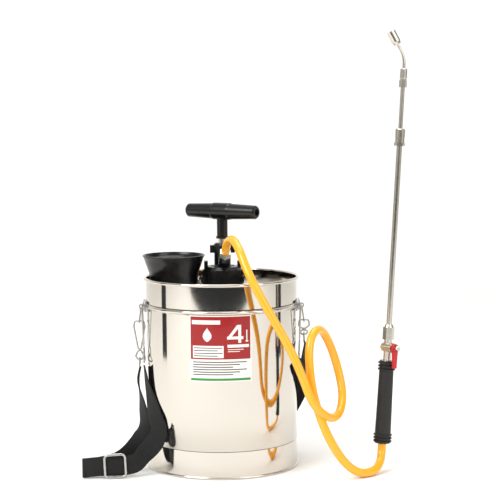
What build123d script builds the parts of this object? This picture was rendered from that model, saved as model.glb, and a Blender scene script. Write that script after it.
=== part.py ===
# Shoulder-strap pressure sprayer: a 4 litre stainless drum with a hand pump,
# a filling funnel, a yellow hose, a telescopic lance and two webbing loops.
# Millimetres, +Z up. The origin is the centre of the drum's base on the floor,
# the label faces -Y and the lance stands on the +X side.
import os
from math import asin, atan2, cos, degrees, pi, radians, sin, tan

from build123d import *

os.makedirs("parts", exist_ok=True)

# ---------------------------------------------------------------- drum
drum_r = 100.0              # outside of the pressure vessel
drum_h = 253.0              # floor to the top of the rolled rim
sheet = 1.0                 # stainless sheet
groove_z = 36.0             # seam between vessel and base skirt
bead_z = drum_h - 37.3              # rolled bead, where the top band is seamed on
bead_proud = 2.2
bead_half_h = 3.0
seam_gap = 0.8
band_r = drum_r + 0.7       # outside of the top band
rim_wire_r = 2.0            # rolled edge of the top band
lip_wire_r = 1.6            # rolled edge of the skirt
lip_flat_w = 1.2            # flat foot of that edge, on the floor
lip_flat_h = 0.1
top_plate_edge_z = drum_h - 23.0
top_plate_crown_z = top_plate_edge_z + 8.0
bottom_crown_z = 28.0       # the bottom plate is dished upwards by the seam
bottom_edge_z = 34.0

# ---------------------------------------------------------------- label
label_w = 80.0
label_h = 86.0
label_z = bead_z - 45.2             # centre height
label_t = 0.25

# ---------------------------------------------------------------- filler
filler_x = -63.0
neck_r = 27.0               # threaded steel neck
neck_wall = 1.5
neck_top_z = top_plate_edge_z + 20.0
neck_root_z = top_plate_edge_z - 1.0
funnel_base_r = neck_r + 4.5
funnel_waist_r = neck_r + 6.0
funnel_lip_r = neck_r + 14.5
funnel_base_z = top_plate_edge_z + 8.5
funnel_waist_z = top_plate_edge_z + 28.0
funnel_top_z = top_plate_edge_z + 51.5
funnel_wall = 2.2
thread_gap = 0.4            # screwed pieces, drawn without their threads
throat_r = neck_r - 1.6
plug_r = neck_r - 6.4
plug_flange_r = neck_r - 4.2
plug_grip_h = 10.0
plug_grip_t = 5.0
strainer_r = neck_r - neck_wall - thread_gap
strainer_depth = 42.0
strainer_wall = 0.8
gasket_t = 2.0

# ---------------------------------------------------------------- relief valve
relief_x = -27.5
relief_y = 24.0
relief_hex = 9.0
relief_r = 3.2
relief_cap_r = 3.4
relief_lift = 2.0
relief_base_z = top_plate_edge_z + 6.0
relief_top_z = top_plate_edge_z + 28.0

# ---------------------------------------------------------------- pump
pump_x = 2.0
pump_neck_r = 22.0
pump_neck_wall = 2.0
pump_neck_top_z = top_plate_edge_z + 17.0
cylinder_r = 14.5
cylinder_wall = 1.6
cylinder_foot_z = 62.0
head_flange_r = 21.5
head_flange_t = 3.0
head_r = 11.0
head_bore_r = 7.0
head_top_z = top_plate_edge_z + 54.0
nut_r = 26.0
nut_skirt_z = top_plate_edge_z + 11.5
nut_top_z = top_plate_edge_z + 36.0
nut_wall = 3.0
nut_flange_r = 27.5
nut_flange_t = 3.0
nut_ribs = 24
nut_rib_r = 0.9
ear_h = 7.0
ear_t = 5.0
ear_w = 12.0
cap_r = 12.5
cap_top_z = top_plate_edge_z + 67.0
cap_lug_reach = 16.5
cap_lug_h = 12.0
cap_lug_w = 9.0
rod_r = 4.0
rod_gap = 0.06              # running fit of the rod in its cap bush
stem_r = 7.2
stem_foot_r = 8.6
stem_foot_z = top_plate_edge_z + 73.0
stem_foot_h = 2.4
bar_z = top_plate_edge_z + 109.0               # centre line of the T handle
bar_yaw = -32.0             # the right-hand end points towards the label side
bar_len = 108.0
hub_half = 14.0
hub_r = 11.2
grip_root_r = 10.4
grip_end_r = 9.0
rod_nut_af = 9.0
rod_nut_z = top_plate_edge_z + 68.4
rod_nut_h = 4.0
piston_z = 88.0
piston_h = 9.0
piston_gap = 0.35
cup_h = 5.0

# ---------------------------------------------------------------- outlet
boss_dir = Vector(0.10, -0.64, 0.762).normalized()
boss_root = Vector(pump_x, 0.0, top_plate_edge_z + 24.0)
boss_r = 7.6
boss_len = 36.0
ferrule_r = 6.9
ferrule_len = 8.0
barb_r = 3.2
barb_len = 14.0
dip_r = 2.2
dip_wall = 0.6
dip_gap = 0.3
dip_foot_z = 44.0

# ---------------------------------------------------------------- hose
hose_r = 5.5

# ---------------------------------------------------------------- lance
lance_x = 210.0
lance_y = -55.0
lance_z = 37.6
lance_lean = degrees(atan2(0.0569, 1.0))
grip_len = 108.6
grip_foot_r = 10.4
grip_top_r = 9.4
grip_ridge_r = 11.9
grip_ridges = 3
grip_ridge_pitch = 4.2
core_r = 6.6                # nickel tube that the grip is pulled over
valve_r = 5.3
valve_len = 28.0
collar_r = 6.8
collar_len = 20.0
tube_r = 3.7
tube_wall = 0.6
tube_len = 232.0
lock_r = 6.5
lock_hex = 12.4
lock_len = 22.0
inner_r = tube_r - 0.9
inner_wall = 0.5
inner_show = 53.0
inner_len = 246.0
slide_gap = 0.08
union_r = 4.7
union_len = 24.0
union_hex_len = 9.0
neck_tube_r = 2.0
neck_bend_r = 34.0
neck_bend = 31.0            # degrees between lance and nozzle
neck_rise = 14.0
neck_reach = 20.0
nozzle_r = 5.8
nozzle_len = 17.5
nozzle_wall = 1.4
nozzle_hole_r = 0.8
nozzle_hole_gap = 2.6

# ---------------------------------------------------------------- cock
cock_up = 126.0             # along the lance from the foot of the grip
cock_yaw = -52.0            # the cock's head points forward and to the right
cock_r = 3.0
cock_boss_r = 6.6
cock_boss_len = 11.6
cock_head = 5.6
cock_head_len = 5.0
lever_len = 26.0
lever_t = 3.2
lever_w_top = 8.4
lever_w_end = 5.6

# ---------------------------------------------------------------- straps
web_w = 25.0
web_t = 1.8
lug_r = drum_r + bead_proud + 0.2
lug_t = 1.6
lug_h = 13.0
eye_out = 3.0               # hole of the link's eye, out from the lug plate
eye_t = 2.4
eye_hole_r = 1.7
lug_drop = 3.0              # eye and stud below the bead
link_wire_r = 0.9
link_len = 22.0
link_w = 8.0
link_lean = 8.0
clip_wire_r = 1.1
clip_w = 14.6
clip_rise = 1.6             # top wire above a clip's own origin
clip_waist = 4.0
clip_bulb_w = 10.8
swivel_w = 7.0
swivel_h = 9.0
stud_y = 20.0               # stud of the second clip, towards the label side
stud_r = 1.8
stud_gap = 0.4
stud_out = 1.7              # from the lug plate to the clip's wire
side_lean = 2.0
tri_w = 17.0
tri_h = 9.0
left_clips = ((36.0, 14.0), (50.0, 16.0))     # upper loop and lower bulb of the front
right_clips = ((10.0, 8.0), (44.0, 16.0))     # clip, then of the side clip
buckle_w = 30.0
buckle_wire_r = 1.7

# ================================================================ helpers


def turned_face(plane, *points):
    """Closed half profile, as (radius, height) points on a plane through its axis."""
    with BuildSketch(plane) as half:
        with BuildLine():
            Polyline(*points, close=True)
        make_face()
    return half.sketch


def axis_plane(x, y, z=0.0):
    """Upright plane for a turned profile whose axis stands at x, y."""
    return Plane(origin=(x, y, z), x_dir=(1, 0, 0), z_dir=(0, -1, 0))


def plane_along(origin, direction, across=(0, 1, 0)):
    """Plane whose local Y runs along direction, for a profile turned about it."""
    along = Vector(*direction).normalized()
    normal = Vector(*across).cross(along).cross(along).normalized()
    return Plane(origin=origin, x_dir=normal.cross(along) * -1.0, z_dir=normal)


def turn_axis(plane):
    return Axis(plane.origin, plane.y_dir)


def wire_ring(plane, wire_r, *points, corner):
    """Closed loop of round wire through rounded corners on a plane."""
    with BuildLine(plane) as loop:
        FilletPolyline(*points, radius=corner, close=True)
    start = Plane(origin=loop.line @ 0, z_dir=loop.line % 0)
    with BuildPart() as ring:
        with BuildSketch(start):
            Circle(wire_r)
        sweep(path=loop.line)
    return ring.part


def web_section(centre, wide, along):
    """Rectangle of webbing: wide is the direction of its width."""
    wide_dir = Vector(*wide).normalized()
    along_dir = Vector(*along).normalized()
    flat = (wide_dir - along_dir * wide_dir.dot(along_dir)).normalized()
    with BuildSketch(Plane(origin=centre, x_dir=flat, z_dir=along_dir)) as section:
        Rectangle(web_w, web_t)
    return section.sketch


def webbing(stations):
    """Straight-sided webbing through stations of centre and width direction."""
    sections = []
    for index, (centre, wide) in enumerate(stations):
        before = Vector(*stations[max(index - 1, 0)][0])
        after = Vector(*stations[min(index + 1, len(stations) - 1)][0])
        sections.append(web_section(centre, wide, after - before))
    with BuildPart() as strip:
        loft(sections=sections, ruled=True)
    return strip.part


def save(piece, name):
    piece.part.label = name
    export_step(piece.part, f"parts/{name}.step")


# ================================================================ drum
drum_axis_plane = axis_plane(0, 0)
rim_z = drum_h - rim_wire_r
rim_r = band_r + rim_wire_r * 0.5
band_foot_z = bead_z + bead_half_h + seam_gap

with BuildPart() as tank_shell:
    revolve(turned_face(
        drum_axis_plane,
        (drum_r - sheet, groove_z),
        (drum_r, groove_z),
        (drum_r, bead_z - bead_half_h),
        (drum_r + bead_proud, bead_z),
        (drum_r, bead_z + bead_half_h),
        (drum_r - sheet, bead_z + bead_half_h),
        (drum_r + bead_proud - 1.4 * sheet, bead_z),
        (drum_r - sheet, bead_z - bead_half_h),
    ), axis=Axis.Z)
save(tank_shell, "tank_shell")

with BuildPart() as top_ring:
    revolve(turned_face(
        drum_axis_plane,
        (band_r - sheet, band_foot_z),
        (band_r, band_foot_z),
        (band_r, rim_z),
        (band_r - sheet, rim_z),
    ), axis=Axis.Z)
    with BuildSketch(drum_axis_plane):
        with Locations((rim_r, rim_z)):
            Circle(rim_wire_r)
    revolve(axis=Axis.Z)
save(top_ring, "top_ring")

skirt_top_z = groove_z - seam_gap
lip_r = drum_r + 0.4
with BuildPart() as base_skirt:
    revolve(turned_face(
        drum_axis_plane,
        (drum_r - 2 * sheet, skirt_top_z),
        (drum_r - sheet, skirt_top_z),
        (lip_r, lip_wire_r),
        (lip_r - sheet, lip_wire_r),
    ), axis=Axis.Z)
    with BuildSketch(drum_axis_plane):
        with Locations((lip_r, lip_wire_r + lip_flat_h)):
            Circle(lip_wire_r)
        with Locations((lip_r, lip_wire_r / 2)):
            Rectangle(lip_flat_w, lip_wire_r)
    revolve(axis=Axis.Z)
save(base_skirt, "base_skirt")

plate_r = drum_r - sheet
flange_h = 7.0
relief_hole_r = relief_r + thread_gap
with BuildPart() as tank_top:
    revolve(turned_face(
        drum_axis_plane,
        (0, top_plate_crown_z),
        (plate_r - sheet, top_plate_edge_z),
        (plate_r - sheet, top_plate_edge_z - flange_h),
        (plate_r, top_plate_edge_z - flange_h),
        (plate_r, top_plate_edge_z + sheet),
        (plate_r - sheet, top_plate_edge_z + sheet),
        (0, top_plate_crown_z + sheet),
    ), axis=Axis.Z)
    with Locations((filler_x, 0, top_plate_edge_z)):
        Hole(neck_r)
    with Locations((pump_x, 0, top_plate_edge_z)):
        Hole(pump_neck_r)
    with Locations((relief_x, relief_y, top_plate_edge_z)):
        Hole(relief_hole_r)
save(tank_top, "tank_top")

with BuildPart() as tank_bottom:
    revolve(turned_face(
        drum_axis_plane,
        (0, bottom_crown_z),
        (plate_r - 3 * sheet, bottom_edge_z + 4 * sheet),
        (plate_r, bottom_edge_z + 4 * sheet),
        (plate_r, bottom_edge_z + 12 * sheet),
        (plate_r - sheet, bottom_edge_z + 12 * sheet),
        (plate_r - sheet, bottom_edge_z + 5 * sheet),
        (plate_r - 3 * sheet, bottom_edge_z + 5 * sheet),
        (0, bottom_crown_z + sheet),
    ), axis=Axis.Z)
save(tank_bottom, "tank_bottom")

label_half_deg = degrees(asin(label_w / 2 / drum_r))
with BuildPart() as label_sheet:
    face = turned_face(
        Plane.XZ.rotated((0, 0, -90 - label_half_deg)),
        (drum_r, label_z - label_h / 2),
        (drum_r + label_t, label_z - label_h / 2),
        (drum_r + label_t, label_z + label_h / 2),
        (drum_r, label_z + label_h / 2),
    )
    revolve(face, axis=Axis.Z, revolution_arc=2 * label_half_deg)
save(label_sheet, "label_sheet")

# ================================================================ filler
filler_plane = axis_plane(filler_x, 0)
filler_axis = turn_axis(filler_plane)
with BuildPart() as filler_neck:
    revolve(turned_face(
        filler_plane,
        (neck_r - neck_wall, neck_root_z),
        (neck_r, neck_root_z),
        (neck_r, neck_top_z),
        (neck_r - neck_wall, neck_top_z),
    ), axis=filler_axis)
save(filler_neck, "filler_neck")

funnel_floor_z = neck_top_z + thread_gap
funnel_lip_t = 1.6
with BuildPart() as funnel:
    revolve(turned_face(
        filler_plane,
        (neck_r + thread_gap, funnel_base_z),
        (funnel_base_r, funnel_base_z),
        (funnel_waist_r, funnel_waist_z),
        (funnel_lip_r - funnel_lip_t, funnel_top_z - 2 * funnel_lip_t),
        (funnel_lip_r, funnel_top_z - funnel_lip_t),
        (funnel_lip_r, funnel_top_z),
        (funnel_lip_r - funnel_wall, funnel_top_z),
        (funnel_lip_r - 2 * funnel_wall, funnel_top_z - 2 * funnel_lip_t),
        (funnel_waist_r + funnel_wall, funnel_waist_z + 3.4 * funnel_wall),
        (funnel_waist_r, funnel_waist_z + 3.4 * funnel_wall),
        (funnel_waist_r - funnel_wall, funnel_waist_z),
        (funnel_waist_r - funnel_wall, funnel_floor_z + funnel_wall),
        (throat_r, funnel_floor_z + funnel_wall),
        (throat_r, funnel_floor_z),
        (neck_r + thread_gap, funnel_floor_z),
    ), axis=filler_axis)
save(funnel, "funnel")

strainer_top_z = neck_top_z - 2 * gasket_t
mesh_hole_r = 2.2
mesh_rows = 4
mesh_pitch = strainer_depth / (mesh_rows + 1)
with BuildPart() as strainer:
    revolve(turned_face(
        filler_plane,
        (strainer_r, strainer_top_z),
        (strainer_r, strainer_top_z - strainer_depth),
        (0, strainer_top_z - strainer_depth),
        (0, strainer_top_z - strainer_depth + strainer_wall),
        (strainer_r - strainer_wall, strainer_top_z - strainer_depth + strainer_wall),
        (strainer_r - strainer_wall, strainer_top_z),
    ), axis=filler_axis)
    for row in range(mesh_rows):
        row_z = strainer_top_z - (row + 1.2) * mesh_pitch
        row_plane = Plane(origin=(filler_x, 0, row_z))
        with Locations(row_plane):
            with PolarLocations(0, 6):
                Cylinder(mesh_hole_r, 3 * strainer_r, rotation=(0, 90, 0), mode=Mode.SUBTRACT)
save(strainer, "strainer")

plug_flange_t = 3.0
plug_seal_r = throat_r - neck_wall
with BuildPart() as plug_gasket:
    revolve(turned_face(
        filler_plane,
        (plug_r + thread_gap, neck_top_z - gasket_t),
        (plug_seal_r + 1.0, neck_top_z - gasket_t),
        (plug_seal_r + 1.0, neck_top_z),
        (plug_r + thread_gap, neck_top_z),
    ), axis=filler_axis)
save(plug_gasket, "plug_gasket")

plug_foot_z = strainer_top_z + thread_gap
with BuildPart() as filler_plug:
    revolve(turned_face(
        filler_plane,
        (0, plug_foot_z),
        (plug_r, plug_foot_z),
        (plug_r, neck_top_z + thread_gap),
        (plug_flange_r, neck_top_z + thread_gap),
        (plug_flange_r, neck_top_z + thread_gap + plug_flange_t),
        (0, neck_top_z + thread_gap + plug_flange_t),
    ), axis=filler_axis)
    plug_top_z = neck_top_z + thread_gap + plug_flange_t
    with BuildSketch(Plane.XY.offset(plug_top_z)):
        with Locations((filler_x, 0)):
            Rectangle(2 * plug_r - 6, plug_grip_t)
            Rectangle(plug_grip_t, 2 * plug_r - 6)
    extrude(amount=plug_grip_h)
save(filler_plug, "filler_plug")

# ================================================================ relief valve
relief_plane = axis_plane(relief_x, relief_y)
relief_axis = turn_axis(relief_plane)
relief_bore_r = 1.6
relief_pin_r = relief_bore_r - 0.06
relief_hex_z = top_plate_edge_z + 9.5
relief_hex_h = 6.0
relief_pocket_z = top_plate_edge_z + 19.0
with BuildPart() as relief_body:
    revolve(turned_face(
        relief_plane,
        (relief_bore_r, relief_base_z - 6),
        (relief_r, relief_base_z - 6),
        (relief_r, relief_pocket_z),
        (relief_bore_r, relief_pocket_z),
    ), axis=relief_axis)
    with BuildSketch(Plane.XY.offset(relief_hex_z)):
        with Locations((relief_x, relief_y)):
            RegularPolygon(relief_hex / 2, 6, major_radius=False)
            Circle(relief_bore_r, mode=Mode.SUBTRACT)
    extrude(amount=relief_hex_h)
save(relief_body, "relief_body")

relief_head_r = 3.0
with BuildPart() as relief_pin:
    revolve(turned_face(
        relief_plane,
        (0, relief_base_z - 9),
        (relief_head_r, relief_base_z - 9),
        (relief_head_r, relief_base_z - 6.4 - relief_lift),
        (relief_pin_r, relief_base_z - 6.4 - relief_lift),
        (relief_pin_r, relief_top_z - 6),
        (0, relief_top_z - 6),
    ), axis=relief_axis)
save(relief_pin, "relief_pin")

with BuildPart() as relief_cap:
    revolve(turned_face(
        relief_plane,
        (relief_pin_r, relief_pocket_z + 1.5),
        (relief_cap_r, relief_pocket_z + 1.5),
        (relief_cap_r, relief_top_z - 1),
        (relief_cap_r - 1, relief_top_z),
        (0, relief_top_z),
        (0, relief_top_z - 6),
        (relief_pin_r, relief_top_z - 6),
    ), axis=relief_axis)
save(relief_cap, "relief_cap")

# ================================================================ pump housing
pump_plane = axis_plane(pump_x, 0)
pump_axis = turn_axis(pump_plane)
with BuildPart() as pump_neck:
    revolve(turned_face(
        pump_plane,
        (pump_neck_r - pump_neck_wall, neck_root_z),
        (pump_neck_r, neck_root_z),
        (pump_neck_r, pump_neck_top_z),
        (pump_neck_r - pump_neck_wall, pump_neck_top_z),
    ), axis=pump_axis)
save(pump_neck, "pump_neck")

gasket_in_r = pump_neck_r - pump_neck_wall - 0.3
with BuildPart() as pump_gasket:
    revolve(turned_face(
        pump_plane,
        (gasket_in_r, pump_neck_top_z),
        (head_flange_r, pump_neck_top_z),
        (head_flange_r, pump_neck_top_z + gasket_t),
        (gasket_in_r, pump_neck_top_z + gasket_t),
    ), axis=pump_axis)
save(pump_gasket, "pump_gasket")

flange_z = pump_neck_top_z + gasket_t
flange_top_z = flange_z + head_flange_t
cylinder_bore_r = cylinder_r - cylinder_wall
with BuildPart() as pump_cylinder:
    revolve(turned_face(
        pump_plane,
        (cylinder_bore_r, cylinder_foot_z),
        (cylinder_r, cylinder_foot_z),
        (cylinder_r, flange_z),
        (cylinder_bore_r, flange_z),
    ), axis=pump_axis)
save(pump_cylinder, "pump_cylinder")

dome_r = 15.0
dome_z = nut_top_z + 2.0
with BuildPart() as pump_head:
    revolve(turned_face(
        pump_plane,
        (cylinder_bore_r, flange_z),
        (head_flange_r, flange_z),
        (head_flange_r, flange_top_z),
        (dome_r, flange_top_z),
        (dome_r, nut_top_z - 2.0),
        (head_r, dome_z),
        (head_r, head_top_z),
        (head_bore_r, head_top_z),
        (head_bore_r, dome_z),
        (cylinder_bore_r - 4, nut_top_z - 6.0),
        (cylinder_bore_r - 4, flange_top_z),
        (cylinder_bore_r, flange_top_z - 1.0),
    ), axis=pump_axis)
    boss_plane = Plane(origin=boss_root + boss_dir * 14.0, z_dir=boss_dir)
    with BuildSketch(boss_plane):
        Circle(boss_r)
    extrude(amount=boss_len - 14.0)
    with BuildSketch(Plane.XY.offset(flange_top_z)):
        with Locations((pump_x, 0)):
            Circle(2 * head_flange_r)
            Circle(dome_r, mode=Mode.SUBTRACT)
    extrude(amount=nut_top_z + thread_gap - flange_top_z, mode=Mode.SUBTRACT)
    with BuildSketch(Plane.XY.offset(flange_z)):
        with Locations((pump_x, 0)):
            Circle(cylinder_bore_r - 4)
    extrude(amount=nut_top_z - 6.0 - flange_z, mode=Mode.SUBTRACT)
    with BuildSketch(Plane.XY.offset(flange_z)):
        with Locations((pump_x, 0)):
            Circle(head_bore_r)
    extrude(amount=head_top_z - flange_z, mode=Mode.SUBTRACT)
    with BuildSketch(Plane(origin=boss_root + boss_dir * (boss_len - 10.0), z_dir=boss_dir)):
        Circle(barb_r)
    extrude(amount=10.0, mode=Mode.SUBTRACT)
save(pump_head, "pump_head")

# the wing nut: ribbed skirt, inward top flange, two ears and two stop blocks
nut_in_r = nut_r - nut_wall
ear_reach = nut_r - 3.0
with BuildPart() as wing_nut:
    revolve(turned_face(
        pump_plane,
        (nut_in_r, nut_skirt_z),
        (nut_flange_r, nut_skirt_z),
        (nut_flange_r, nut_skirt_z + nut_flange_t),
        (nut_r, nut_skirt_z + nut_flange_t),
        (nut_r, nut_top_z - 4.0),
        (nut_r - 4.0, nut_top_z),
        (dome_r + 1.0, nut_top_z),
        (dome_r + 1.0, flange_top_z + thread_gap),
        (nut_in_r, flange_top_z + thread_gap),
    ), axis=pump_axis)
    with BuildSketch(Plane.XY.offset(nut_skirt_z + nut_flange_t)):
        with Locations((pump_x, 0)):
            with PolarLocations(nut_r, nut_ribs):
                Circle(nut_rib_r)
    extrude(amount=nut_top_z - 5.0 - nut_skirt_z - nut_flange_t)
    with BuildSketch(Plane.XY.offset(nut_top_z - 5.0)):
        with Locations((pump_x - ear_reach + 1.0, 0), (pump_x + ear_reach - 1.0, 0)):
            RectangleRounded(ear_t, ear_w, ear_t * 0.3)
    extrude(amount=5.0 + ear_h)
    with BuildSketch(Plane.XY.offset(nut_skirt_z + nut_flange_t)):
        with Locations((pump_x - nut_r, -8), (pump_x + nut_r, -8)):
            Rectangle(5.0, 7.0)
    extrude(amount=9.0)
save(wing_nut, "wing_nut")

with BuildPart() as cylinder_cap:
    revolve(turned_face(
        pump_plane,
        (rod_r + rod_gap, head_top_z),
        (cap_r, head_top_z),
        (cap_r, cap_top_z - 3.0),
        (cap_r - 3.0, cap_top_z),
        (rod_r + rod_gap, cap_top_z),
    ), axis=pump_axis)
    with BuildSketch(Plane.XY.offset(head_top_z)):
        with Locations((pump_x, 0)):
            Rectangle(2 * cap_lug_reach, cap_lug_w)
            Circle(rod_r + rod_gap, mode=Mode.SUBTRACT)
    extrude(amount=cap_lug_h - 2.0)
save(cylinder_cap, "cylinder_cap")

# foot valve at the bottom of the cylinder
foot_seat_t = 3.0
foot_hole_r = 4.0
foot_play = 1.2
with BuildPart() as foot_valve_seat:
    revolve(turned_face(
        pump_plane,
        (foot_hole_r, cylinder_foot_z - foot_seat_t),
        (cylinder_r, cylinder_foot_z - foot_seat_t),
        (cylinder_r, cylinder_foot_z),
        (foot_hole_r, cylinder_foot_z),
    ), axis=pump_axis)
save(foot_valve_seat, "foot_valve_seat")

foot_disc_t = 2.0
foot_disc_r = 9.0
foot_disc_gap = 0.3
with BuildPart() as foot_valve_disc:
    disc_top_z = cylinder_foot_z - foot_seat_t - foot_disc_gap
    with BuildSketch(Plane.XY.offset(disc_top_z - foot_disc_t)):
        with Locations((pump_x, 0)):
            Circle(foot_disc_r)
    extrude(amount=foot_disc_t)
save(foot_valve_disc, "foot_valve_disc")

cage_r = 11.0
cage_wall = 1.5
cage_floor_z = disc_top_z - foot_disc_t - foot_play - 0.5
with BuildPart() as foot_valve_cage:
    revolve(turned_face(
        pump_plane,
        (cage_r, cylinder_foot_z - foot_seat_t),
        (cage_r + cage_wall, cylinder_foot_z - foot_seat_t),
        (cage_r + cage_wall, cage_floor_z - cage_wall),
        (foot_hole_r, cage_floor_z - cage_wall),
        (foot_hole_r, cage_floor_z),
        (cage_r, cage_floor_z),
    ), axis=pump_axis)
save(foot_valve_cage, "foot_valve_cage")

# ================================================================ plunger
piston_r = cylinder_bore_r - piston_gap
with BuildPart() as piston:
    revolve(turned_face(
        pump_plane,
        (rod_r + rod_gap, piston_z),
        (piston_r, piston_z),
        (piston_r, piston_z + piston_h),
        (rod_r + rod_gap, piston_z + piston_h),
    ), axis=pump_axis)
save(piston, "piston")

with BuildPart() as piston_cup:
    revolve(turned_face(
        pump_plane,
        (rod_r + thread_gap, piston_z - 2.0),
        (piston_r - 2.5, piston_z - 2.0),
        (piston_r - 1.0, piston_z - cup_h),
        (piston_r, piston_z - cup_h),
        (piston_r, piston_z),
        (rod_r + thread_gap, piston_z),
    ), axis=pump_axis)
save(piston_cup, "piston_cup")

rod_foot_z = piston_z - 14.0
shoulder_t = 2.0
stem_socket_z = stem_foot_z + 14.0
with BuildPart() as pump_rod:
    revolve(turned_face(
        pump_plane,
        (0, rod_foot_z),
        (rod_r, rod_foot_z),
        (rod_r, piston_z + piston_h + thread_gap),
        (rod_r + 1.5, piston_z + piston_h + thread_gap),
        (rod_r + 1.5, piston_z + piston_h + thread_gap + shoulder_t),
        (rod_r, piston_z + piston_h + thread_gap + shoulder_t),
        (rod_r, stem_socket_z),
        (0, stem_socket_z),
    ), axis=pump_axis)
save(pump_rod, "pump_rod")

with BuildPart() as piston_nut:
    with BuildSketch(Plane.XY.offset(rod_foot_z + 1.0)):
        with Locations((pump_x, 0)):
            RegularPolygon(6.5, 6, major_radius=False)
            Circle(rod_r, mode=Mode.SUBTRACT)
    extrude(amount=5.0)
save(piston_nut, "piston_nut")

with BuildPart() as rod_nut:
    with BuildSketch(Plane.XY.offset(rod_nut_z)):
        with Locations((pump_x, 0)):
            RegularPolygon(rod_nut_af / 2, 6, major_radius=False)
            Circle(rod_r, mode=Mode.SUBTRACT)
    extrude(amount=rod_nut_h)
save(rod_nut, "rod_nut")

bar_dir = Vector(cos(radians(bar_yaw)), sin(radians(bar_yaw)), 0)
bar_centre = Vector(pump_x, 0, bar_z)
bar_plane = Plane(origin=bar_centre, x_dir=(0, 0, 1), z_dir=bar_dir.cross(Vector(0, 0, 1)))
bar_axis = Axis(bar_centre, bar_dir)
bar_sign = 1 if bar_plane.y_dir.dot(bar_dir) > 0 else -1
with BuildPart() as handle_tee:
    revolve(turned_face(
        pump_plane,
        (0, stem_socket_z),
        (rod_r, stem_socket_z),
        (rod_r, stem_foot_z),
        (stem_foot_r, stem_foot_z),
        (stem_foot_r, stem_foot_z + stem_foot_h),
        (stem_r, stem_foot_z + stem_foot_h + 1.0),
        (stem_r, bar_z),
        (0, bar_z),
    ), axis=pump_axis)
    revolve(turned_face(
        bar_plane,
        (0, -hub_half),
        (hub_r - 0.6, -hub_half),
        (hub_r, -hub_half + 2.0),
        (hub_r, hub_half - 2.0),
        (hub_r - 0.6, hub_half),
        (0, hub_half),
    ), axis=bar_axis)
save(handle_tee, "handle_tee")


def handle_grip(side):
    """Tapered grip that is screwed on one end of the tee."""
    root = side * hub_half
    end = side * bar_len / 2
    lip = side * 2.0
    return turned_face(
        bar_plane,
        (0, root),
        (grip_root_r, root),
        (grip_end_r, end - lip),
        (grip_end_r - 1.6, end),
        (4.5, end),
        (4.5, end - 1.5 * lip),
        (0, end - 1.5 * lip),
    )


with BuildPart() as handle_grip_left:
    revolve(handle_grip(-bar_sign), axis=bar_axis)
save(handle_grip_left, "handle_grip_left")

with BuildPart() as handle_grip_right:
    revolve(handle_grip(bar_sign), axis=bar_axis)
save(handle_grip_right, "handle_grip_right")

# ================================================================ hose and outlet
hose_start = boss_root + boss_dir * (boss_len + ferrule_len)
ferrule_start = boss_root + boss_dir * boss_len
with BuildPart() as hose_ferrule:
    with BuildSketch(Plane(origin=ferrule_start, z_dir=boss_dir)):
        RegularPolygon(ferrule_r, 6, major_radius=False)
        Circle(barb_r, mode=Mode.SUBTRACT)
    extrude(amount=ferrule_len)
save(hose_ferrule, "hose_ferrule")

with BuildPart() as hose_barb:
    with BuildSketch(Plane(origin=ferrule_start - boss_dir * 9.0, z_dir=boss_dir)):
        Circle(barb_r)
        Circle(barb_r - 1.0, mode=Mode.SUBTRACT)
    extrude(amount=9.0 + ferrule_len + barb_len * 0.6)
save(hose_barb, "hose_barb")

lance_dir = Vector(sin(radians(lance_lean)), 0, cos(radians(lance_lean)))
lance_foot = Vector(lance_x, lance_y, lance_z)
hose_end = lance_foot
hose_lead = 12.0
exit_lead = 10.0
exit_point = hose_start + boss_dir * exit_lead
lead_point = hose_end - lance_dir * hose_lead
hose_route = [
    tuple(hose_start),
    tuple(exit_point),
    (11, -46, 304),
    (17, -63, 307.5),
    (25, -83, 296),
    (34, -99, 272),
    (47, -111, 246),
    (66, -114, 212),
    (88, -113, 173),
    (104, -115, 136),
    (114, -117, 107),
    (126, -112, 90),
    (141, -98, 77.5),
    (153, -78, 80),
    (158.5, -57, 97),
    (157, -43, 116),
    (151, -36, 141),
    (143, -43, 165),
    (134, -57, 184),
    (125.5, -72, 191.5),
    (117, -86, 185),
    (113, -95, 167),
    (113.5, -99, 144),
    (117, -102, 115),
    (127, -104, 79),
    (141, -105, 47),
    (158, -104, 21),
    (175, -99, 7.5),
    (190, -89, 5.2),
    (201, -76, 7.5),
    (207, -64, 14.5),
    tuple(lead_point),
    tuple(hose_end),
]


def route_radii(points):
    """Arc radius at each corner: 0.45 of the shorter run over tan(turn / 2)."""
    radii = []
    for before, here, after in zip(points, points[1:], points[2:]):
        run_in = Vector(*here) - Vector(*before)
        run_out = Vector(*after) - Vector(*here)
        turn = radians(run_in.get_angle(run_out))
        radii.append(0.45 * min(run_in.length, run_out.length) / tan(turn / 2))
    return radii


hose_radii = route_radii(hose_route)
with BuildPart() as hose:
    with BuildLine() as hose_path:
        FilletPolyline(*hose_route, radius=hose_radii)
    with BuildSketch(Plane(origin=hose_start, z_dir=boss_dir)):
        Circle(hose_r)
    sweep(path=hose_path.line)
save(hose, "hose")
hose_length = hose_path.wires()[0].length
hose_volume = pi * hose_r**2 * hose_length
print("hose radii", [round(radius, 1) for radius in hose_radii])
print("hose length", round(hose_length, 1), "lowest", round(hose.part.bounding_box().min.Z, 2))
print("hose volume", round(hose.part.volume), "section x length", round(hose_volume))

dip_x = pump_x + cylinder_r + dip_gap + dip_r
with BuildPart() as dip_tube:
    with BuildSketch(Plane.XY.offset(dip_foot_z)):
        with Locations((dip_x, 0)):
            Circle(dip_r)
            Circle(dip_r - dip_wall, mode=Mode.SUBTRACT)
    extrude(amount=flange_z - dip_foot_z)
save(dip_tube, "dip_tube")

# ================================================================ lance
lance_plane = Plane(
    origin=lance_foot,
    x_dir=(cos(radians(lance_lean)), 0, -sin(radians(lance_lean))),
    z_dir=(0, -1, 0),
)
lance_axis = Axis(lance_foot, lance_dir)


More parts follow.
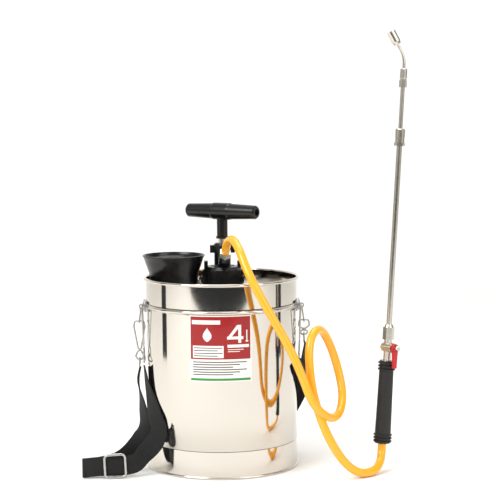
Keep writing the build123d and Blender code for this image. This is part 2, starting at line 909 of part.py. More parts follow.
def lance_turned(*points):
    """Half profile of (radius, distance up the lance from the foot of the grip)."""
    return turned_face(lance_plane, *points)


def lance_at(up):
    """Plane across the lance at a distance up from the foot of the grip."""
    return Plane(origin=lance_foot + lance_dir * up, x_dir=lance_plane.x_dir, z_dir=lance_dir)


grip_top = grip_len
valve_top = grip_top + valve_len
collar_top = valve_top + collar_len
tube_foot = valve_top + 2.0
tube_top = collar_top + tube_len
lock_top = tube_top + lock_len
inner_top = lock_top + inner_show
inner_foot = inner_top - inner_len
union_top = inner_top + union_len

grip_points = [(core_r, 0), (grip_foot_r, 0)]
for ridge in range(grip_ridges):
    ridge_up = 1.0 + ridge * grip_ridge_pitch
    grip_points += [
        (grip_foot_r, ridge_up),
        (grip_ridge_r, ridge_up + 0.6),
        (grip_ridge_r, ridge_up + 2.0),
        (grip_foot_r, ridge_up + 2.6),
    ]
for ridge in range(grip_ridges):
    ridge_up = grip_top - 1.0 - (grip_ridges - ridge) * grip_ridge_pitch + 1.2
    grip_points += [
        (grip_top_r, ridge_up),
        (grip_ridge_r - 0.6, ridge_up + 0.6),
        (grip_ridge_r - 0.6, ridge_up + 2.0),
        (grip_top_r, ridge_up + 2.6),
    ]
grip_points += [(grip_top_r, grip_top), (core_r, grip_top)]
with BuildPart() as lance_grip:
    revolve(lance_turned(*grip_points), axis=lance_axis)
save(lance_grip, "lance_grip")

cock_dir = Vector(cos(radians(cock_yaw)), sin(radians(cock_yaw)), 0)
cock_centre = lance_foot + lance_dir * cock_up
cock_hole_r = cock_r + 0.08
bore_r = 2.4
with BuildPart() as valve_body:
    revolve(lance_turned(
        (bore_r, 0),
        (core_r, 0),
        (core_r, grip_top),
        (valve_r, grip_top + 0.2),
        (valve_r, valve_top),
        (bore_r, valve_top),
    ), axis=lance_axis)
    with BuildSketch(Plane(origin=cock_centre - cock_dir * 6.4, z_dir=cock_dir)):
        Circle(cock_boss_r)
    extrude(amount=6.4 + cock_boss_len)
    with BuildSketch(Plane(origin=cock_centre - cock_dir * 8.0, z_dir=cock_dir)):
        Circle(cock_hole_r)
    extrude(amount=20.0, mode=Mode.SUBTRACT)
save(valve_body, "valve_body")

cock_tail = 8.2
with BuildPart() as cock_plug:
    with BuildSketch(Plane(origin=cock_centre - cock_dir * cock_tail, z_dir=cock_dir)):
        Circle(cock_r)
    extrude(amount=cock_tail + cock_boss_len + lever_t + 0.6)
    with BuildSketch(lance_at(cock_up)):
        Circle(bore_r - 0.6)
    extrude(amount=8.0, both=True, mode=Mode.SUBTRACT)
    head_origin = cock_centre + cock_dir * (cock_boss_len + lever_t + 0.6)
    head_plane = Plane(origin=head_origin, x_dir=lance_dir, z_dir=cock_dir)
    with BuildSketch(head_plane):
        Rectangle(cock_head, cock_head, rotation=45)
    extrude(amount=cock_head_len)
    with BuildSketch(Plane(origin=cock_centre - cock_dir * (cock_tail + 1.2), z_dir=cock_dir)):
        RegularPolygon(4.2, 6, major_radius=False)
    extrude(amount=1.2)
save(cock_plug, "cock_plug")

lever_plane = Plane(
    origin=cock_centre + cock_dir * (cock_boss_len + 0.4),
    x_dir=lance_dir * -1.0,
    z_dir=cock_dir,
)
with BuildPart() as cock_lever:
    with BuildSketch(lever_plane):
        with BuildLine():
            Polyline(
                (0, lever_w_top / 2),
                (lever_len, lever_w_end / 2),
                (lever_len, -lever_w_end / 2),
                (0, -lever_w_top / 2),
                close=True,
            )
        make_face()
        Circle(cock_boss_r - 0.8)
        Circle(cock_r, mode=Mode.SUBTRACT)
    extrude(amount=lever_t)
save(cock_lever, "cock_lever")

with BuildPart() as collar_nut:
    with BuildSketch(lance_at(valve_top)):
        RegularPolygon(collar_r - 0.3, 6, major_radius=False)
        Circle(tube_r, mode=Mode.SUBTRACT)
    extrude(amount=collar_len - 4.0)
    revolve(lance_turned(
        (tube_r, collar_top - 4.0),
        (collar_r - 0.4, collar_top - 4.0),
        (collar_r - 2.0, collar_top),
        (tube_r, collar_top),
    ), axis=lance_axis)
save(collar_nut, "collar_nut")

with BuildPart() as outer_tube:
    revolve(lance_turned(
        (tube_r - tube_wall, tube_foot),
        (tube_r, tube_foot),
        (tube_r, tube_top + 4.0),
        (tube_r - tube_wall, tube_top + 4.0),
    ), axis=lance_axis)
save(outer_tube, "outer_tube")

with BuildPart() as slide_bush:
    revolve(lance_turned(
        (inner_r + slide_gap, tube_top + 4.2),
        (tube_r + 0.6, tube_top + 4.2),
        (tube_r + 0.6, tube_top + 10.0),
        (inner_r + slide_gap, tube_top + 10.0),
    ), axis=lance_axis)
save(slide_bush, "slide_bush")

lock_bore_r = tube_r + 0.8
with BuildPart() as lock_nut:
    with BuildSketch(lance_at(tube_top)):
        RegularPolygon(lock_hex / 2, 6, major_radius=False)
        Circle(tube_r + slide_gap, mode=Mode.SUBTRACT)
    extrude(amount=4.0)
    revolve(lance_turned(
        (lock_bore_r, tube_top + 4.0),
        (lock_hex / 2, tube_top + 4.0),
        (lock_hex / 2, tube_top + 9.0),
        (lock_r - 1.0, tube_top + 9.0),
        (lock_r, tube_top + 10.0),
        (lock_r, lock_top - 1.0),
        (lock_r - 1.0, lock_top),
        (inner_r + 0.5, lock_top),
        (inner_r + 0.5, lock_top - 3.0),
        (lock_bore_r, lock_top - 3.0),
    ), axis=lance_axis)
save(lock_nut, "lock_nut")

with BuildPart() as inner_tube:
    revolve(lance_turned(
        (inner_r - inner_wall, inner_foot),
        (inner_r, inner_foot),
        (inner_r, inner_top + union_hex_len),
        (inner_r - inner_wall, inner_top + union_hex_len),
    ), axis=lance_axis)
save(inner_tube, "inner_tube")

with BuildPart() as union_nut:
    with BuildSketch(lance_at(inner_top)):
        RegularPolygon(union_r - 0.3, 6, major_radius=False)
        Circle(inner_r + slide_gap, mode=Mode.SUBTRACT)
    extrude(amount=union_hex_len)
    revolve(lance_turned(
        (inner_r + 0.6, inner_top + union_hex_len),
        (union_r - 0.4, inner_top + union_hex_len),
        (union_r - 0.4, inner_top + union_hex_len + 2.0),
        (union_r, inner_top + union_hex_len + 2.5),
        (union_r, union_top - 1.0),
        (union_r - 1.0, union_top),
        (neck_tube_r + 0.3, union_top),
        (neck_tube_r + 0.3, union_top - 3.0),
        (inner_r + 0.6, union_top - 3.0),
    ), axis=lance_axis)
save(union_nut, "union_nut")

neck_start = lance_foot + lance_dir * (inner_top + union_hex_len + 0.2)
side_dir = lance_plane.x_dir * -1.0
bend = radians(neck_bend)
nozzle_dir = lance_dir * cos(bend) + side_dir * sin(bend)
neck_corner = lance_foot + lance_dir * (union_top + neck_rise)
neck_end = neck_corner + nozzle_dir * neck_reach
with BuildPart() as nozzle_neck:
    with BuildLine() as neck_path:
        FilletPolyline(neck_start, neck_corner, neck_end, radius=neck_bend_r)
    with BuildSketch(Plane(origin=neck_start, z_dir=lance_dir)):
        Circle(neck_tube_r)
        Circle(neck_tube_r - 0.6, mode=Mode.SUBTRACT)
    sweep(path=neck_path.line)
    with BuildSketch(Plane(origin=neck_start, z_dir=lance_dir)):
        Circle(inner_r + 0.4)
        Circle(neck_tube_r - 0.6, mode=Mode.SUBTRACT)
    extrude(amount=6.0)
    with BuildSketch(Plane(origin=neck_end + nozzle_dir * 0.6, z_dir=nozzle_dir)):
        Circle(nozzle_r - nozzle_wall - 0.1)
        Circle(neck_tube_r - 0.6, mode=Mode.SUBTRACT)
    extrude(amount=7.0)
save(nozzle_neck, "nozzle_neck")

nozzle_plane = Plane(origin=neck_end, x_dir=nozzle_dir.cross(Vector(0, 1, 0)), z_dir=(0, -1, 0))
nozzle_axis = Axis(neck_end, nozzle_dir)
nozzle_sign = 1 if nozzle_plane.y_dir.dot(nozzle_dir) > 0 else -1
with BuildPart() as nozzle_cap:
    revolve(turned_face(
        nozzle_plane,
        (neck_tube_r + 0.4, -nozzle_sign * 1.0),
        (nozzle_r - 1.2, -nozzle_sign * 1.0),
        (nozzle_r, nozzle_sign * 3.0),
        (nozzle_r, nozzle_sign * nozzle_len),
        (nozzle_r - nozzle_wall, nozzle_sign * nozzle_len),
        (nozzle_r - nozzle_wall, nozzle_sign * 0.4),
        (neck_tube_r + 0.4, nozzle_sign * 0.4),
    ), axis=nozzle_axis)
save(nozzle_cap, "nozzle_cap")

with BuildPart() as nozzle_disc:
    with BuildSketch(Plane(origin=neck_end + nozzle_dir * (nozzle_len - 3.0), z_dir=nozzle_dir)):
        Circle(nozzle_r - nozzle_wall)
        with Locations((-nozzle_hole_gap, 0), (nozzle_hole_gap, 0)):
            Circle(nozzle_hole_r, mode=Mode.SUBTRACT)
    extrude(amount=1.6)
save(nozzle_disc, "nozzle_disc")

# ================================================================ lugs and clips
lug_z = bead_z - lug_drop
lug_back = 5.0              # degrees of the plate behind the side line
lug_front = 16.5            # degrees in front of it


def sector_face(r_in, r_out, z_low, z_high, start_deg):
    """Rectangle on the upright plane that stands at start_deg around the drum."""
    direction = (cos(radians(start_deg)), sin(radians(start_deg)), 0)
    plane = Plane(origin=(0, 0, 0), x_dir=direction, z_dir=Vector(*direction).cross(Vector(0, 0, 1)))
    return turned_face(plane, (r_in, z_low), (r_out, z_low), (r_out, z_high), (r_in, z_high))


def clip_loops(plane, upper, lower):
    """Pear-shaped spring clip of one wire, with its lower bulb."""
    shoulder = clip_w * 0.40
    loop = wire_ring(
        plane, clip_wire_r,
        (-shoulder, clip_rise), (shoulder, clip_rise), (clip_w / 2, -6.0),
        (clip_waist / 2, -upper), (-clip_waist / 2, -upper), (-clip_w / 2, -6.0),
        corner=1.9,
    )
    bulb_top = -upper - 2 * clip_wire_r - 0.1
    bulb = wire_ring(
        plane, clip_wire_r,
        (-clip_waist / 2, bulb_top), (clip_waist / 2, bulb_top),
        (clip_bulb_w / 2, -upper - lower + 4.0), (clip_bulb_w / 4, -upper - lower),
        (-clip_bulb_w / 4, -upper - lower), (-clip_bulb_w / 2, -upper - lower + 4.0),
        corner=1.6,
    )
    return loop, bulb


for side, word, clips in ((-1, "left", left_clips), (1, "right", right_clips)):
    (upper, lower), (side_upper, side_lower) = clips
    side_deg = 180.0 if side < 0 else 0.0
    plate_span = lug_back + lug_front
    first_deg = side_deg - lug_back if side < 0 else side_deg - lug_front
    eye_x = side * (lug_r + lug_t + eye_out)
    stud_plate_x = (lug_r + lug_t) * cos(asin(stud_y / (lug_r + lug_t)))
    stud_x = side * (stud_plate_x + stud_out + clip_wire_r)
    with BuildPart() as lug:
        revolve(
            sector_face(lug_r, lug_r + lug_t, lug_z - 4.0, lug_z + lug_h - 4.0, first_deg),
            axis=Axis.Z, revolution_arc=plate_span,
        )
        with BuildSketch(Plane(origin=(0, eye_t / 2, lug_z), z_dir=(0, -1, 0), x_dir=(1, 0, 0))):
            with Locations((eye_x, 0)):
                Circle(eye_hole_r + 1.6)
            with Locations((eye_x - side * eye_out / 2 - side * 0.4, 0)):
                Rectangle(eye_out + 0.8, 2 * eye_hole_r + 3.2)
            with Locations((eye_x, 0)):
                Circle(eye_hole_r, mode=Mode.SUBTRACT)
        extrude(amount=eye_t)
        stud_plane = Plane(origin=(side * (stud_plate_x - 0.8), -stud_y, lug_z), z_dir=(side, 0, 0))
        with BuildSketch(stud_plane):
            Circle(stud_r)
        extrude(amount=stud_out + 2 * clip_wire_r + 2.0)
        with BuildSketch(stud_plane.offset(stud_out + 2 * clip_wire_r + 1.6)):
            Circle(stud_r + 1.4)
        extrude(amount=1.0)
        for rivet_deg in (-3.0, 7.0):
            angle = radians(side_deg + rivet_deg * (1 if side < 0 else -1))
            outward = Vector(cos(angle), sin(angle), 0)
            rivet_at = outward * (lug_r - 0.6) + Vector(0, 0, lug_z + 5.6)
            with BuildSketch(Plane(origin=rivet_at, z_dir=outward)):
                Circle(2.0)
            extrude(amount=lug_t + 1.4)
    save(lug, f"lug_{word}")

    lean = radians(link_lean)
    down = Vector(side * sin(lean), 0, -cos(lean))
    pivot = Vector(eye_x, 0, lug_z)
    link_plane = Plane(origin=pivot, x_dir=(0, 1, 0), z_dir=Vector(0, 1, 0).cross(down * -1.0))
    with BuildPart() as link:
        add(wire_ring(
            link_plane, link_wire_r,
            (-link_w / 2, 0), (link_w / 2, 0), (link_w / 2, -link_len), (-link_w / 2, -link_len),
            corner=1.7,
        ))
    save(link, f"link_{word}")

    clip_top = pivot + down * (link_len - link_wire_r - clip_wire_r + clip_rise)
    clip_plane = Plane(origin=clip_top, x_dir=(1, 0, 0), z_dir=(0, -1, 0))
    swivel_top = clip_top - Vector(0, 0, upper + lower - 2 * clip_wire_r - 0.2)
    swivel_plane = Plane(origin=swivel_top, x_dir=(0, 1, 0), z_dir=(1, 0, 0))
    with BuildPart() as front_clip:
        for piece in clip_loops(clip_plane, upper, lower):
            add(piece)
        add(wire_ring(
            swivel_plane, clip_wire_r,
            (-2.2, 0), (2.2, 0), (swivel_w / 2 + 8.0, -swivel_h), (-swivel_w / 2 - 8.0, -swivel_h),
            corner=1.5,
        ))
    save(front_clip, f"front_clip_{word}")

    tilt = radians(side_lean)
    side_down = Vector(-side * sin(tilt), 0, -cos(tilt))
    stud_at = Vector(stud_x, -stud_y, lug_z)
    side_normal = Vector(0, 1, 0).cross(side_down * -1.0)
    side_top = stud_at - side_down * (stud_r + stud_gap + clip_wire_r - clip_rise)
    side_plane = Plane(origin=side_top, x_dir=(0, 1, 0), z_dir=side_normal)
    tri_top = side_top + side_down * (side_upper + side_lower - 2 * clip_wire_r - 0.3)
    tri_plane = Plane(origin=tri_top, x_dir=(0, 1, 0), z_dir=side_normal)
    with BuildPart() as side_clip:
        for piece in clip_loops(side_plane, side_upper, side_lower):
            add(piece)
        add(wire_ring(
            tri_plane, clip_wire_r,
            (-2.0, 0), (2.0, 0), (tri_w / 2 + 5.0, -tri_h), (-tri_w / 2 - 5.0, -tri_h),
            corner=1.5,
        ))
    save(side_clip, f"side_clip_{word}")

# ================================================================ webbing
# Each loop of webbing hangs from its two clips, lies on the floor on edge,
# folds back on itself and climbs to the other clip.
floor_z = 13.5              # centre of webbing that stands on its edge
buckle_at = Vector(-138, -86.1, 16.6)
left_front_run = [
    ((-109.5, 0, 131), (0, 1, 0)),
    ((-112, -4, 116), (0, 1, 0)),
    ((-110.5, -10, 102), (-0.1, 1, 0)),
    ((-106, -24, 82), (-0.4, 1, 0)),
    ((-102, -38, 62), (-0.7, 1, 0.1)),
    ((-105, -50, 46), (-0.8, 0.5, 0.8)),
    ((-117, -58, 31), (-0.2, 0.1, 1)),
    ((-133, -66, 20), (0.1, 0, 1)),
    ((-154, -77, 15), (0, 0, 1)),
    ((-177, -82.6, floor_z), (0, 0, 1)),
]
left_side_run = [
    ((-102.5, -22, 134), (-0.1, 1, 0)),
    ((-97, -34, 106), (-0.35, 1, 0)),
    ((-88, -56, 78), (-0.7, 0.8, 0)),
    ((-82, -66, 60), (-0.7, 0.6, 0.5)),
    ((-87, -69, 44), (-0.6, 0.3, 0.8)),
    ((-100, -75, 30), (-0.3, 0, 1)),
    ((-116, -84, 17.5), (0, 0, 1)),
    ((-160, -88.2, 15.7), (0, 0, 1)),
    ((-177, -86.4, floor_z), (0, 0, 1)),
]
right_front_run = [
    ((110.5, 0, 162), (0, 1, 0)),
    ((111.5, 3, 147), (0.4, 1, 0)),
    ((109, 16, 130), (-0.1, 1, 0)),
    ((105, 36, 108), (-0.35, 1, 0)),
    ((95, 58, 84), (-0.6, 1, 0)),
    ((82, 76, 60), (-0.8, 0.8, 0)),
    ((68, 88, 42), (-0.8, 0.4, 0.5)),
    ((50, 99, 26), (-0.3, 0.1, 1)),
    ((28, 107, 16), (0, 0, 1)),
    ((-4, 110, floor_z), (0, 0, 1)),
]
right_side_run = [
    ((104.2, -20, 139), (0, 1, 0)),
    ((110, -13, 129), (0.5, 0.9, 0)),
    ((116, 4, 119), (0.2, 1, 0)),
    ((114, 28, 104), (-0.2, 1, 0)),
    ((104, 56, 80), (-0.5, 1, 0)),
    ((91, 77, 57), (-0.8, 0.8, 0)),
    ((76, 92, 39), (-0.8, 0.4, 0.5)),
    ((56, 104, 24), (-0.3, 0.1, 1)),
    ((30, 112, 16), (0, 0, 1)),
    ((-4, 113.8, floor_z), (0, 0, 1)),
]
fold_r = 2.7


def strap_loop(runs, fold_at):
    """Both runs of one webbing loop, joined at the fold on the floor."""
    with BuildPart() as loop:
        for run in runs:
            add(webbing(run))
        with BuildSketch(Plane.XY.offset(floor_z - web_w / 2)):
            with Locations(fold_at):
                Circle(fold_r)
        extrude(amount=web_w)
    return loop.part


with BuildPart() as strap_left:
    add(strap_loop((left_front_run, left_side_run), (-178.0, -84.5)))
save(strap_left, "strap_left")

with BuildPart() as strap_right:
    add(strap_loop((right_front_run, right_side_run), (-5.0, 111.9)))
save(strap_right, "strap_right")

# the slider: a wire frame in front of the webbing with its centre bar behind it
buckle_half_w = buckle_w / 2 - buckle_wire_r
buckle_half_h = web_w / 2 + 0.5 + buckle_wire_r
buckle_gap = web_t / 2 + buckle_wire_r + 0.4
run_dir = (Vector(-160, -88.2, 15.7) - Vector(-116, -84, 17.5)).normalized()
run_up = Vector(0, 0, 1)
run_front = run_up.cross(run_dir).normalized()
buckle_plane = Plane(origin=buckle_at + run_front * buckle_gap, x_dir=run_dir, z_dir=run_front)
with BuildPart() as strap_slider:
    add(wire_ring(
        buckle_plane, buckle_wire_r,
        (-buckle_half_w, -buckle_half_h), (buckle_half_w, -buckle_half_h),
        (buckle_half_w, buckle_half_h), (-buckle_half_w, buckle_half_h),
        corner=5.0,
    ))
    bar_back = buckle_plane.offset(-2 * buckle_gap)
    for end in (-1, 1):
        with BuildSketch(bar_back):
            with Locations((0, end * buckle_half_h)):
                Circle(buckle_wire_r * 0.8)
        extrude(amount=2 * buckle_gap)
    bar_foot = bar_back.origin - bar_back.y_dir * buckle_half_h
    with BuildSketch(Plane(origin=bar_foot, z_dir=bar_back.y_dir)):
        Circle(buckle_wire_r * 0.8)
    extrude(amount=2 * buckle_half_h)
save(strap_slider, "strap_slider")
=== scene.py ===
# %% [markdown]
# # A shoulder-strap pressure sprayer
# A polished steel drum, a black hand pump and funnel, an orange hose and a long
# lance. The CAD frame gives every moving body. This lesson gives them their looks.
# %% Load the frame
from math import cos, pi, radians, sin, tau

import bmesh
import bpy
from mathutils import Matrix, Vector


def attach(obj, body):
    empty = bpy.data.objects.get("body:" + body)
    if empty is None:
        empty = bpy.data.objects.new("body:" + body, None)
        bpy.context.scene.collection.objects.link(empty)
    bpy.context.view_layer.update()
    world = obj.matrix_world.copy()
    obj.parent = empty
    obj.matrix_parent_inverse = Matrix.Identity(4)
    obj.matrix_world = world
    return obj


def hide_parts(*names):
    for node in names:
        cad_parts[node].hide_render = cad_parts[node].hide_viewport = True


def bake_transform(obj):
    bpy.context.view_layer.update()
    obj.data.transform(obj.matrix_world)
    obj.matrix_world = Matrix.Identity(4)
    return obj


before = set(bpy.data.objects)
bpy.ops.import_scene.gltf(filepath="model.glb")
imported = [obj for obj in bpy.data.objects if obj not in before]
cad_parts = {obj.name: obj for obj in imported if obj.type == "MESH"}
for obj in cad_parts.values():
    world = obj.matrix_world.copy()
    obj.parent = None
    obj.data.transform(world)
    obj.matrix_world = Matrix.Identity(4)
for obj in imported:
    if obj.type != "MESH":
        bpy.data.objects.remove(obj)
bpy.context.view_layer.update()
MM = 0.001

# %% [markdown]
# ## Camera
# The sprayer is seen from the front and a little above, through a long lens. A
# camera can be aimed with a constraint, but a plain matrix keeps the fitted roll.
# %% Camera
camera_data = bpy.data.cameras.new("front camera")
camera_data.lens = 115.2
camera_data.sensor_width = 36.0
camera = bpy.data.objects.new("front camera", camera_data)
camera_tilt = Matrix.Rotation(radians(84.473), 4, "X")
camera_roll = Matrix.Rotation(radians(-0.457), 4, "Z")
camera_place = Matrix.Translation(Vector((0.03867, -2.11845, 0.49195)))
camera.matrix_world = camera_place @ camera_tilt @ camera_roll
bpy.context.scene.collection.objects.link(camera)
bpy.context.scene.camera = camera
print("camera at", [round(c, 3) for c in camera.matrix_world.translation])

# %% [markdown]
# ## Small tools
# Colours are written as hex codes, which are sRGB. A shader works in linear light,
# so one function turns them. Another adds a shader node with its values and links.
# %% Colour and node tools
def colour(code):
    """An sRGB hex code as the linear colour a shader works in."""
    parts = [int(code[i:i + 2], 16) / 255 for i in (1, 3, 5)]
    linear = [p / 12.92 if p <= 0.04045 else ((p + 0.055) / 1.055) ** 2.4 for p in parts]
    return (*linear, 1.0)


def add_node(tree, kind, values=None, **settings):
    """A node with its settings; values holds a number or another node's output for each input."""
    made = tree.nodes.new(kind)
    for name, value in settings.items():
        setattr(made, name, value)
    for name, value in (values or {}).items():
        if isinstance(value, bpy.types.NodeSocket):
            tree.links.new(value, made.inputs[name])
        else:
            made.inputs[name].default_value = value
    return made


def new_material(name, base, roughness, **more):
    """A material with one Principled shader, and its tree."""
    material = bpy.data.materials.new(name)
    material.use_nodes = True
    shader = material.node_tree.nodes["Principled BSDF"]
    shader.inputs["Base Color"].default_value = colour(base)
    shader.inputs["Roughness"].default_value = roughness
    for socket, value in more.items():
        shader.inputs[socket.replace("_", " ")].default_value = value
    return material, material.node_tree, shader


def grain(tree, shader, size_mm, low, high, depth_mm=0.0, stretch=(1, 1, 1)):
    """Roughness that wanders between low and high with grains of size_mm, and a little relief."""
    place = add_node(tree, "ShaderNodeTexCoord")
    mapped = add_node(tree, "ShaderNodeMapping", {
        "Vector": place.outputs["Object"], "Scale": stretch})
    noise = add_node(tree, "ShaderNodeTexNoise", {
        "Vector": mapped.outputs["Vector"], "Scale": 1000.0 / size_mm, "Detail": 4.0})
    spread = add_node(tree, "ShaderNodeMapRange", {
        "Value": noise.outputs["Fac"], "To Min": low, "To Max": high})
    tree.links.new(spread.outputs["Result"], shader.inputs["Roughness"])
    if depth_mm:
        bump = add_node(tree, "ShaderNodeBump", {
            "Height": noise.outputs["Fac"], "Distance": depth_mm * MM, "Strength": 0.6})
        tree.links.new(bump.outputs["Normal"], shader.inputs["Normal"])


# %% [markdown]
# ## Metals
# The drum is stainless sheet, buffed to a mirror, so it shows the room with only a
# faint haze round the way the buffing wheel went. The lance parts are nickel-plated
# brass, warmer and a little duller. Clips are bright zinc-plated wire.
# %% Metals
drum_steel, tree, shader = new_material("buffed stainless sheet", "#D6D1C8", 0.05, Metallic=1.0)
grain(tree, shader, 9.0, 0.035, 0.10, stretch=(1, 1, 7))
plate_steel, tree, shader = new_material("pressed stainless plate", "#DAD7D1", 0.35, Metallic=1.0)
grain(tree, shader, 4.0, 0.3, 0.42)
nickel, tree, shader = new_material("nickel-plated brass", "#D0CBC1", 0.2, Metallic=1.0)
grain(tree, shader, 3.0, 0.14, 0.27, 0.02)
zinc_wire, tree, shader = new_material("zinc-plated wire", "#B9B9B7", 0.28, Metallic=1.0)
grain(tree, shader, 1.5, 0.2, 0.36, 0.02)
brass, tree, shader = new_material("turned brass", "#C79A4B", 0.22, Metallic=1.0)
grain(tree, shader, 1.0, 0.16, 0.3, 0.01, (1, 1, 8))
mesh_steel, tree, shader = new_material("perforated stainless", "#B4B4B2", 0.3, Metallic=1.0)
grain(tree, shader, 1.0, 0.24, 0.38)

# %% [markdown]
# ## Plastics and rubber
# Moulded black polypropylene is shiny with a soft orange-peel surface. The lance
# grip is soft rubber, matt, with a fine grain. Natural polypropylene is milky.
# %% Plastics and rubber
black_plastic, tree, shader = new_material(
    "moulded black polypropylene", "#0B0B0C", 0.25, IOR=1.49)
grain(tree, shader, 2.2, 0.16, 0.32, 0.03)
grip_rubber, tree, shader = new_material("soft grip rubber", "#121212", 0.6, IOR=1.52)
grain(tree, shader, 0.8, 0.46, 0.66, 0.05)
seal_rubber, tree, shader = new_material("nitrile seal rubber", "#1B1B1B", 0.7, IOR=1.52)
grain(tree, shader, 1.0, 0.6, 0.8, 0.02)
red_plastic, tree, shader = new_material("moulded red nylon", "#C01820", 0.32, IOR=1.53)
grain(tree, shader, 1.6, 0.24, 0.4, 0.02)
milky_plastic, tree, shader = new_material(
    "natural polypropylene", "#DDE0DA", 0.4, IOR=1.49, Subsurface_Weight=0.2)
grain(tree, shader, 2.0, 0.34, 0.5)

# %% [markdown]
# ## Hose finish
# The hose is orange PVC over a white braid, which shows through faintly. Two crossed
# waves on the hose's own UV draw the braid. Its threads are 3 mm apart, which is
# wider than on the real one, so that they can be seen.
# %% Hose finish
hose_length = 0.7859
thread_step = 0.003
hose_pvc, tree, shader = new_material(
    "braided orange PVC", "#FFB01A", 0.24, IOR=1.53, Coat_Weight=0.35)
place = add_node(tree, "ShaderNodeTexCoord")
braid = []
for lean in (1.0, -1.0):
    mapped = add_node(tree, "ShaderNodeMapping", {
        "Vector": place.outputs["UV"], "Scale": (hose_length / thread_step, 6.0 * lean, 1.0)})
    braid.append(add_node(tree, "ShaderNodeTexWave", {
        "Vector": mapped.outputs["Vector"], "Scale": 1.0}, bands_direction="DIAGONAL"))
crossed = add_node(tree, "ShaderNodeMath", {
    0: braid[0].outputs["Fac"], 1: braid[1].outputs["Fac"]}, operation="MAXIMUM")
tone = add_node(tree, "ShaderNodeMix", {
    "Factor": crossed.outputs["Value"]}, data_type="RGBA")
braid_tones = {"A": colour("#FF9E0E"), "B": colour("#FFB822")}
for socket in tone.inputs:
    if socket.type == "RGBA":
        socket.default_value = braid_tones[socket.name]
mixed = [socket for socket in tone.outputs if socket.type == "RGBA"][0]
tree.links.new(mixed, shader.inputs["Base Color"])

# %% [markdown]
# ## Webbing finish
# Black woven polypropylene has ribs along it and a pick across it. Both are drawn
# on the UV map, which holds millimetres, so the weave follows the strap.
# %% Webbing finish
pick_step = 1.6
webbing, tree, shader = new_material(
    "woven black polypropylene", "#0B0B0C", 0.78, IOR=1.49, Sheen_Weight=0.04)
place = add_node(tree, "ShaderNodeTexCoord")
weave = []
for across in ("X", "Y"):
    mapped = add_node(tree, "ShaderNodeMapping", {
        "Vector": place.outputs["UV"], "Scale": (1 / pick_step, 1 / pick_step, 1.0)})
    weave.append(add_node(tree, "ShaderNodeTexWave", {
        "Vector": mapped.outputs["Vector"], "Scale": pi / 10}, bands_direction=across))
height = add_node(tree, "ShaderNodeMath", {
    0: weave[0].outputs["Fac"], 1: weave[1].outputs["Fac"]}, operation="MULTIPLY")
bump = add_node(tree, "ShaderNodeBump", {
    "Height": height.outputs["Value"], "Distance": 0.35 * MM, "Strength": 0.8})
tree.links.new(bump.outputs["Normal"], shader.inputs["Normal"])
shade = add_node(tree, "ShaderNodeMapRange", {
    "Value": height.outputs["Value"], "To Min": 0.78, "To Max": 0.95})
tree.links.new(shade.outputs["Result"], shader.inputs["Roughness"])
thread, tree, shader = new_material("polyester sewing thread", "#3A3A3D", 0.6, IOR=1.57)
grain(tree, shader, 0.6, 0.5, 0.7)

# %% [markdown]
# ## Printed film
# The label is white film with solid printed colours and a thin gloss coat.
# %% Printed film
film_colours = {"white": "#EFEDE8", "red": "#9A060A", "green": "#2E8B3D", "ink": "#3A3A3C"}
film = {}
for ink_name, code in film_colours.items():
    film[ink_name], tree, shader = new_material(
        f"printed {ink_name} film", code, 0.3, IOR=1.5, Coat_Weight=0.3)
    grain(tree, shader, 5.0, 0.24, 0.36)

# %% [markdown]
# ## Finish for each CAD piece
# Each CAD piece takes the finish of the slot that the table below lists for it. Unlisted
# pieces take polished steel, and the drum's top and bottom take pressed plate.
# %% Finish for each CAD piece
finishes = {
    "polished_steel": drum_steel, "nickel": nickel, "wire": zinc_wire,
    "black_plastic": black_plastic, "black_rubber": grip_rubber,
    "seal_rubber": seal_rubber, "brass": brass, "hose_pvc": hose_pvc,
    "red_plastic": red_plastic, "clear_plastic": milky_plastic, "mesh": mesh_steel,
    "label_print": film["white"], "webbing": webbing,
}
by_piece = {
    "nickel": ["relief_body", "hose_ferrule", "hose_barb", "valve_body", "collar_nut", "outer_tube",
               "lock_nut", "inner_tube", "union_nut", "nozzle_neck", "nozzle_cap", "nozzle_disc",
               "cock_plug", "pump_rod", "piston_nut", "rod_nut", "filler_neck", "pump_neck"],
    "wire": ["link_left", "link_right", "front_clip_left", "front_clip_right", "side_clip_left",
             "side_clip_right", "lug_left", "lug_right", "strap_slider"],
    "black_plastic": ["funnel", "filler_plug", "wing_nut", "pump_head", "cylinder_cap",
                      "handle_tee", "handle_grip_left", "handle_grip_right", "piston"],
    "black_rubber": ["lance_grip"],
    "seal_rubber": ["plug_gasket", "pump_gasket", "piston_cup", "foot_valve_disc", "slide_bush"],
    "brass": ["relief_cap", "relief_pin"],
    "hose_pvc": ["hose"],
    "red_plastic": ["cock_lever"],
    "clear_plastic": ["pump_cylinder", "dip_tube", "foot_valve_seat", "foot_valve_cage"],
    "mesh": ["strainer"],
    "label_print": ["label_sheet"],
    "webbing": ["strap_left", "strap_right"],
}
slot_of = {piece: name for name, pieces in by_piece.items() for piece in pieces}
for piece_name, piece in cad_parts.items():
    slot_name = slot_of.get(piece_name, "polished_steel")
    finish = plate_steel if piece_name in ("tank_top", "tank_bottom") else finishes[slot_name]
    piece.data.materials.clear()
    piece.data.materials.append(finish)
print(len(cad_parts), "CAD pieces finished")

